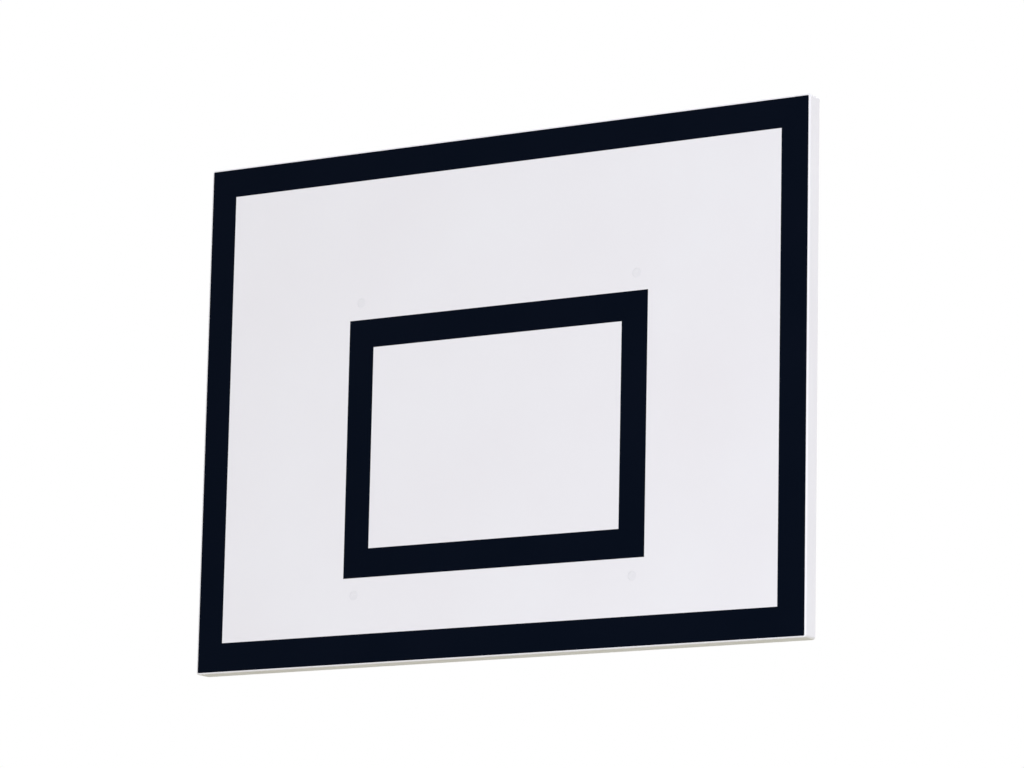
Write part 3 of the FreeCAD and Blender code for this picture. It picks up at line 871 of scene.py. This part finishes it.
def strap_stations(moulding, flange_steps=12, bend_steps=6, crown_steps=8):
    """Stations across a strap, from one flange over the tube to the other.

    Each is an inner and an outer point, as distances from the tube's middle line and Ys.
    """
    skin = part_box("arm_straps")[0].y
    tube_low, tube_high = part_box(ARMS[0])
    wall, back = (tube_high.z - tube_low.z) / 2, tube_high.y
    bend = moulding.strap_bend
    crown, top = wall + moulding.strap_thickness, back + moulding.strap_thickness
    root, foot = crown + bend, skin + moulding.strap_thickness
    reach = crown + moulding.strap_flange
    bends = [i / bend_steps for i in range(1, bend_steps + 1)]
    half = []
    for i in range(flange_steps + 1):
        w = reach + (root - reach) * i / flange_steps
        half.append(((w, skin), (w, foot)))
    for share in bends:
        a = math.pi / 2 * share
        along, up = min(1.0, 2 * share), max(0.0, 2 * share - 1)
        inner = (root - (root - wall) * along, skin + (foot + bend - skin) * up)
        outer = (root - bend * math.sin(a), foot + bend - bend * math.cos(a))
        half.append((inner, outer))
    for share in bends:
        y = foot + bend + (top - 2 * bend - foot) * share
        half.append(((wall, y), (crown, y)))
    for share in bends:
        a = math.pi / 2 * share
        up, along = min(1.0, 2 * share), max(0.0, 2 * share - 1)
        inner = (wall - (wall - crown + bend) * along, top - bend + (back - top + bend) * up)
        outer = (crown - bend + bend * math.cos(a), top - bend + bend * math.sin(a))
        half.append((inner, outer))
    for i in range(1, crown_steps + 1):
        w = (crown - bend) * (1 - i / crown_steps)
        half.append(((w, back), (w, top)))
    mirrored = [((-a[0], a[1]), (-b[0], b[1])) for a, b in reversed(half[:-1])]
    return half + mirrored


def strap_sheets(build, place, seed, moulding, steps):
    """Rows of vertices on a strap's inside and outside, with straying and feathered edges."""
    centre, along, across = place
    stations = strap_stations(moulding)
    last = len(stations) - 1
    width = moulding.strap_width
    sheets = ([], [])
    for index, (inner, outer) in enumerate(stations):
        from_end = min(index, last - index)
        left, right = (
            moulding.strap_wander * noise.noise(seed + Vector((0.0, index * 0.21, edge)))
            for edge in (1.0, 7.0)
        )
        for sheet in sheets:
            sheet.append([])
        for step in range(steps + 1):
            u = -width / 2 + left + (width + right - left) * step / steps
            from_edge = min(step, steps - step)
            # Two fifths of the thickness at the rims, all of it 6 stations or 2.5 steps further in
            feather = 0.4 + 0.6 * min(1.0, from_end / 6, from_edge / 2.5)
            lump = moulding.strap_lumps * noise.noise(seed + Vector((u * 90, index * 0.5, 3.0)))
            fuller = feather + lump / moulding.strap_thickness
            reach = 1.0
            # On the flanges, the cut ends stray by up to a twentieth of the way out
            if from_end < 10:
                foot = math.copysign(2.0, inner[0])
                reach += 0.05 * noise.noise(seed + Vector((u * 110, 11.0, foot)))
            raised = tuple(a + (b - a) * fuller for a, b in zip(inner, outer))
            for sheet, (w, y) in zip(sheets, (inner, raised)):
                spot = centre + along * u + across * (w * reach)
                spot.y = y
                sheet[-1].append(build.verts.new(spot))
    return sheets


def strap_mesh(name, places, moulding, steps=22):
    """Hand-laid straps, each a closed skin of an inside, an uneven outside and four rims."""
    build = bmesh.new()
    for number, place in enumerate(places):
        # Each strap reads its own part of the noise
        seed = Vector((17.3 * number, 5.1 * number, 9.7))
        inside, outside = strap_sheets(build, place, seed, moulding, steps)
        for sheet, order in ((inside, 1), (outside, -1)):
            for a, b in zip(sheet, sheet[1:]):
                for step in range(steps):
                    corners = (a[step], a[step + 1], b[step + 1], b[step])
                    build.faces.new(corners[::order])
        rims = [(inside[end], outside[end]) for end in (0, -1)]
        for edge in (0, -1):
            rims.append(([row[edge] for row in inside], [row[edge] for row in outside]))
        for inner, outer in rims:
            for step in range(len(inner) - 1):
                build.faces.new((inner[step], inner[step + 1], outer[step + 1], outer[step]))
    return closed_mesh(name, build, crease=50)


def toward(azimuth, elevation):
    """Direction from the board to a place at that azimuth to its right and that height angle."""
    flat = math.cos(elevation)
    return Vector((math.sin(azimuth) * flat, -math.cos(azimuth) * flat, math.sin(elevation)))


class BACKBOARD_OT_finish_shell(bpy.types.Operator):
    """Give the moulded shell its white gel coat outside and its laminate inside"""

    bl_idname = "backboard.finish_shell"
    bl_label = "Shell"

    def execute(self, context):
        wear_material(("front_shell",), moulded_shell(context.scene.backboard_moulding))
        return {"FINISHED"}


class BACKBOARD_OT_finish_lines(bpy.types.Operator):
    """Give the border and the target their black gel coat"""

    bl_idname = "backboard.finish_lines"
    bl_label = "Lines"

    def execute(self, context):
        black = black_gel_coat(context.scene.backboard_moulding)
        wear_material(("border_line", "target_line"), black)
        return {"FINISHED"}


class BACKBOARD_OT_finish_tubes(bpy.types.Operator):
    """Galvanise the tubes of the frame and the ring plate"""

    bl_idname = "backboard.finish_tubes"
    bl_label = "Tubes and ring plate"

    def execute(self, context):
        zinc = galvanised_steel(context.scene.backboard_steel)
        wear_material((*UPRIGHTS, *RAILS, *ARMS, "ring_plate"), zinc)
        return {"FINISHED"}


class BACKBOARD_OT_lay_welds(bpy.types.Operator):
    """Lay rippled weld beads where the tubes meet the uprights"""

    bl_idname = "backboard.lay_welds"
    bl_label = "Welds"

    def execute(self, context):
        steel = context.scene.backboard_steel
        values = {
            "Pitch": steel.ripple_pitch,
            "Reach": steel.ripple_reach,
            "Seed": 4,
            "Material": weld_paint(steel),
        }
        beads = grow("weld_beads", weld_lines(steel), ripple_tree(), values)
        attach(beads, "root")
        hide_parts("frame_welds")
        return {"FINISHED"}


class BACKBOARD_OT_finish_bedding(bpy.types.Operator):
    """Make the strips between the skin and the frame of rubber"""

    bl_idname = "backboard.finish_bedding"
    bl_label = "Bedding strips"

    def execute(self, context):
        rubber = bedding_rubber(context.scene.backboard_trim)
        wear_material(("upright_bedding", "rail_bedding", "arm_bedding"), rubber)
        return {"FINISHED"}


class BACKBOARD_OT_lay_straps(bpy.types.Operator):
    """Lay the laminate straps over the arms and the uprights"""

    bl_idname = "backboard.lay_straps"
    bl_label = "Straps"

    def execute(self, context):
        moulding = context.scene.backboard_moulding
        material = strap_laminate(moulding)
        x_axis, z_axis = Vector((1.0, 0.0, 0.0)), Vector((0.0, 0.0, 1.0))
        groups = (
            ("arm_strap_laminate", "arm_straps", ARMS, x_axis, z_axis),
            ("upright_strap_laminate", "upright_straps", UPRIGHTS, z_axis, x_axis),
        )
        for name, node, tubes, along, across in groups:
            places = []
            for tube in tubes:
                centre = middle_of(tube)
                if node == "upright_straps":
                    centre.z = middle_of(node).z
                else:
                    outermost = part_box(node)[1].x
                    centre.x = math.copysign(outermost - moulding.strap_width / 2, centre.x)
                centre.y = 0.0
                places.append((centre, along, across))
            mesh = strap_mesh(name, places, moulding)
            mesh.materials.append(material)
            straps = new_object(name, mesh)
            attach(straps, "root")
            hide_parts(node)
        return {"FINISHED"}


class BACKBOARD_OT_finish_caps(bpy.types.Operator):
    """Mould the plugs in the tube ends from black polythene"""

    bl_idname = "backboard.finish_caps"
    bl_label = "End caps"

    def execute(self, context):
        polythene = cap_polythene(context.scene.backboard_trim)
        wear_material(("upright_end_caps", "arm_end_caps"), polythene)
        return {"FINISHED"}


class BACKBOARD_OT_fit_bolts(bpy.types.Operator):
    """Fit the bolts with their painted heads, threaded ends, plugs, washers and lock nuts"""

    bl_idname = "backboard.fit_bolts"
    bl_label = "Bolts and nuts"

    def execute(self, context):
        steel = context.scene.backboard_steel
        trim = context.scene.backboard_trim
        plated = zinc_plate(steel)
        heads_mesh = bolt_heads_mesh(steel)
        heads_mesh.materials.append(smooth_white("White paint on steel", steel.head_paint, 0.97))
        heads = new_object("bolt_heads", heads_mesh)
        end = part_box("shell_bolts")[1].y
        values = {
            "Core": steel.thread_core,
            "Ridge": steel.thread_ridge,
            "Pitch": steel.thread_pitch,
            "Start": end - steel.thread_length,
            "End": end,
            "Chamfer": steel.thread_chamfer,
            "Seed": 2,
            "Material": plated,
        }
        points = bpy.data.meshes.new("fixing_points")
        points.from_pydata(fixing_places(), [], [])
        threads = grow("bolt_threads", points, thread_tree(), values)
        for piece, slot in ((heads, "white_painted_steel"), (threads, "zinc_plated_steel")):
            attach(piece, "root")
            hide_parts("shell_bolts")
        wear_material(("bolt_washers", "lock_nuts", "crush_sleeves", "mount_nuts"), plated)
        wear_material(("lock_nut_rings",), ring_nylon(trim))
        wear_material(("socket_plugs",), smooth_white("White plastic", trim.plug, 0.98))
        return {"FINISHED"}


class BACKBOARD_OT_set_stage(bpy.types.Operator):
    """Lay the floor, hang the lamps and set the camera below and to the right of the board"""

    bl_idname = "backboard.set_stage"
    bl_label = "Stage"

    def execute(self, context):
        scene = context.scene
        stage = scene.backboard_stage
        scene.view_settings.view_transform = "Standard"
        self.lay_floor(stage)
        self.light_room(scene, stage)
        # Name, power, colour, azimuth and elevation in degrees, distance and size
        lamps = (
            ("key_lamp", stage.key_power, stage.lamp_colour, 48, -4, 16.0, 6.5),
            ("low_lamp", stage.low_power, stage.lamp_colour, 10, -35, 3.2, 1.5),
            ("back_lamp", stage.back_power, stage.room_colour, 205, 30, 6.0, 4.0),
        )
        for lamp in lamps:
            self.hang_lamp(*lamp)
        self.set_camera(scene, stage)
        return {"FINISHED"}

    def lay_floor(self, stage):
        mesh = bpy.data.meshes.new("floor")
        build = bmesh.new()
        bmesh.ops.create_circle(build, cap_ends=True, segments=96, radius=stage.floor_radius)
        level = SHELL_LOW.z - stage.floor_drop
        bmesh.ops.translate(build, verts=build.verts, vec=(0.0, 0.0, level))
        build.to_mesh(mesh)
        build.free()
        mesh.materials.append(court_floor(stage))
        new_object("floor", mesh)

    def light_room(self, scene, stage):
        world = bpy.data.worlds.new("Room")
        world.use_nodes = True
        tree = world.node_tree
        tree.nodes.clear()
        kind = "ShaderNodeBackground"
        light = {"Color": opaque(stage.room_colour), "Strength": stage.room_level}
        room = add_node(tree, kind, light)
        backdrop = add_node(tree, kind, {"Color": (1.0, 1.0, 1.0, 1.0), "Strength": 1.0})
        both = add_node(tree, MIX_SHADER, {0: seen_rays(tree), 1: room, 2: backdrop})
        add_node(tree, "ShaderNodeOutputWorld", {"Surface": both})
        scene.world = world

    def hang_lamp(self, name, power, colour, azimuth, elevation, distance, size):
        lamp = bpy.data.lights.new(name, "AREA")
        lamp.energy = power
        lamp.color = colour
        lamp.size = size
        holder = new_object(name, lamp)
        away = toward(math.radians(azimuth), math.radians(elevation))
        holder.location = away * distance
        holder.visible_camera = False
        holder.rotation_mode = "QUATERNION"
        holder.rotation_quaternion = away.to_track_quat("Z", "Y")

    def set_camera(self, scene, stage):
        data = bpy.data.cameras.new("camera")
        data.sensor_width = 36.0
        data.lens = stage.lens
        camera = new_object("camera", data)
        away = toward(stage.azimuth, stage.elevation)
        tilt = Quaternion((0.0, 0.0, 1.0), stage.roll)
        camera.location = Vector(stage.aim) + away * stage.distance
        camera.rotation_mode = "QUATERNION"
        camera.rotation_quaternion = away.to_track_quat("Z", "Y") @ tilt
        scene.camera = camera


SETTINGS = (
    ("backboard_moulding", MouldingSettings, "Shell, lines and straps"),
    ("backboard_steel", SteelSettings, "Frame and fixings"),
    ("backboard_trim", TrimSettings, "Rubber and plastic"),
    ("backboard_stage", StageSettings, "Stage"),
)
OPERATORS = (
    BACKBOARD_OT_finish_shell,
    BACKBOARD_OT_finish_lines,
    BACKBOARD_OT_finish_tubes,
    BACKBOARD_OT_lay_welds,
    BACKBOARD_OT_finish_bedding,
    BACKBOARD_OT_lay_straps,
    BACKBOARD_OT_finish_caps,
    BACKBOARD_OT_fit_bolts,
    BACKBOARD_OT_set_stage,
)


class BACKBOARD_PT_sidebar(bpy.types.Panel):
    """The steps that finish the backboard, and their settings"""

    bl_idname = "BACKBOARD_PT_sidebar"
    bl_label = "Moulded backboard"
    bl_space_type = "VIEW_3D"
    bl_region_type = "UI"
    bl_category = "Backboard"

    def draw(self, context):
        for operator in OPERATORS:
            self.layout.operator(operator.bl_idname)
        for attribute, group, title in SETTINGS:
            box = self.layout.box()
            box.label(text=title)
            for name in group.__annotations__:
                box.prop(getattr(context.scene, attribute), name)


CLASSES = (*(group for _, group, _ in SETTINGS), *OPERATORS, BACKBOARD_PT_sidebar)


def register():
    for item in CLASSES:
        bpy.utils.register_class(item)
    for attribute, group, _ in SETTINGS:
        setattr(bpy.types.Scene, attribute, bpy.props.PointerProperty(type=group))


def unregister():
    for attribute, _, _ in SETTINGS:
        delattr(bpy.types.Scene, attribute)
    for item in reversed(CLASSES):
        bpy.utils.unregister_class(item)


def main():
    register()
    for operator in OPERATORS:
        group, name = operator.bl_idname.split(".")
        getattr(getattr(bpy.ops, group), name)()


if __name__ == "__main__":
    main()
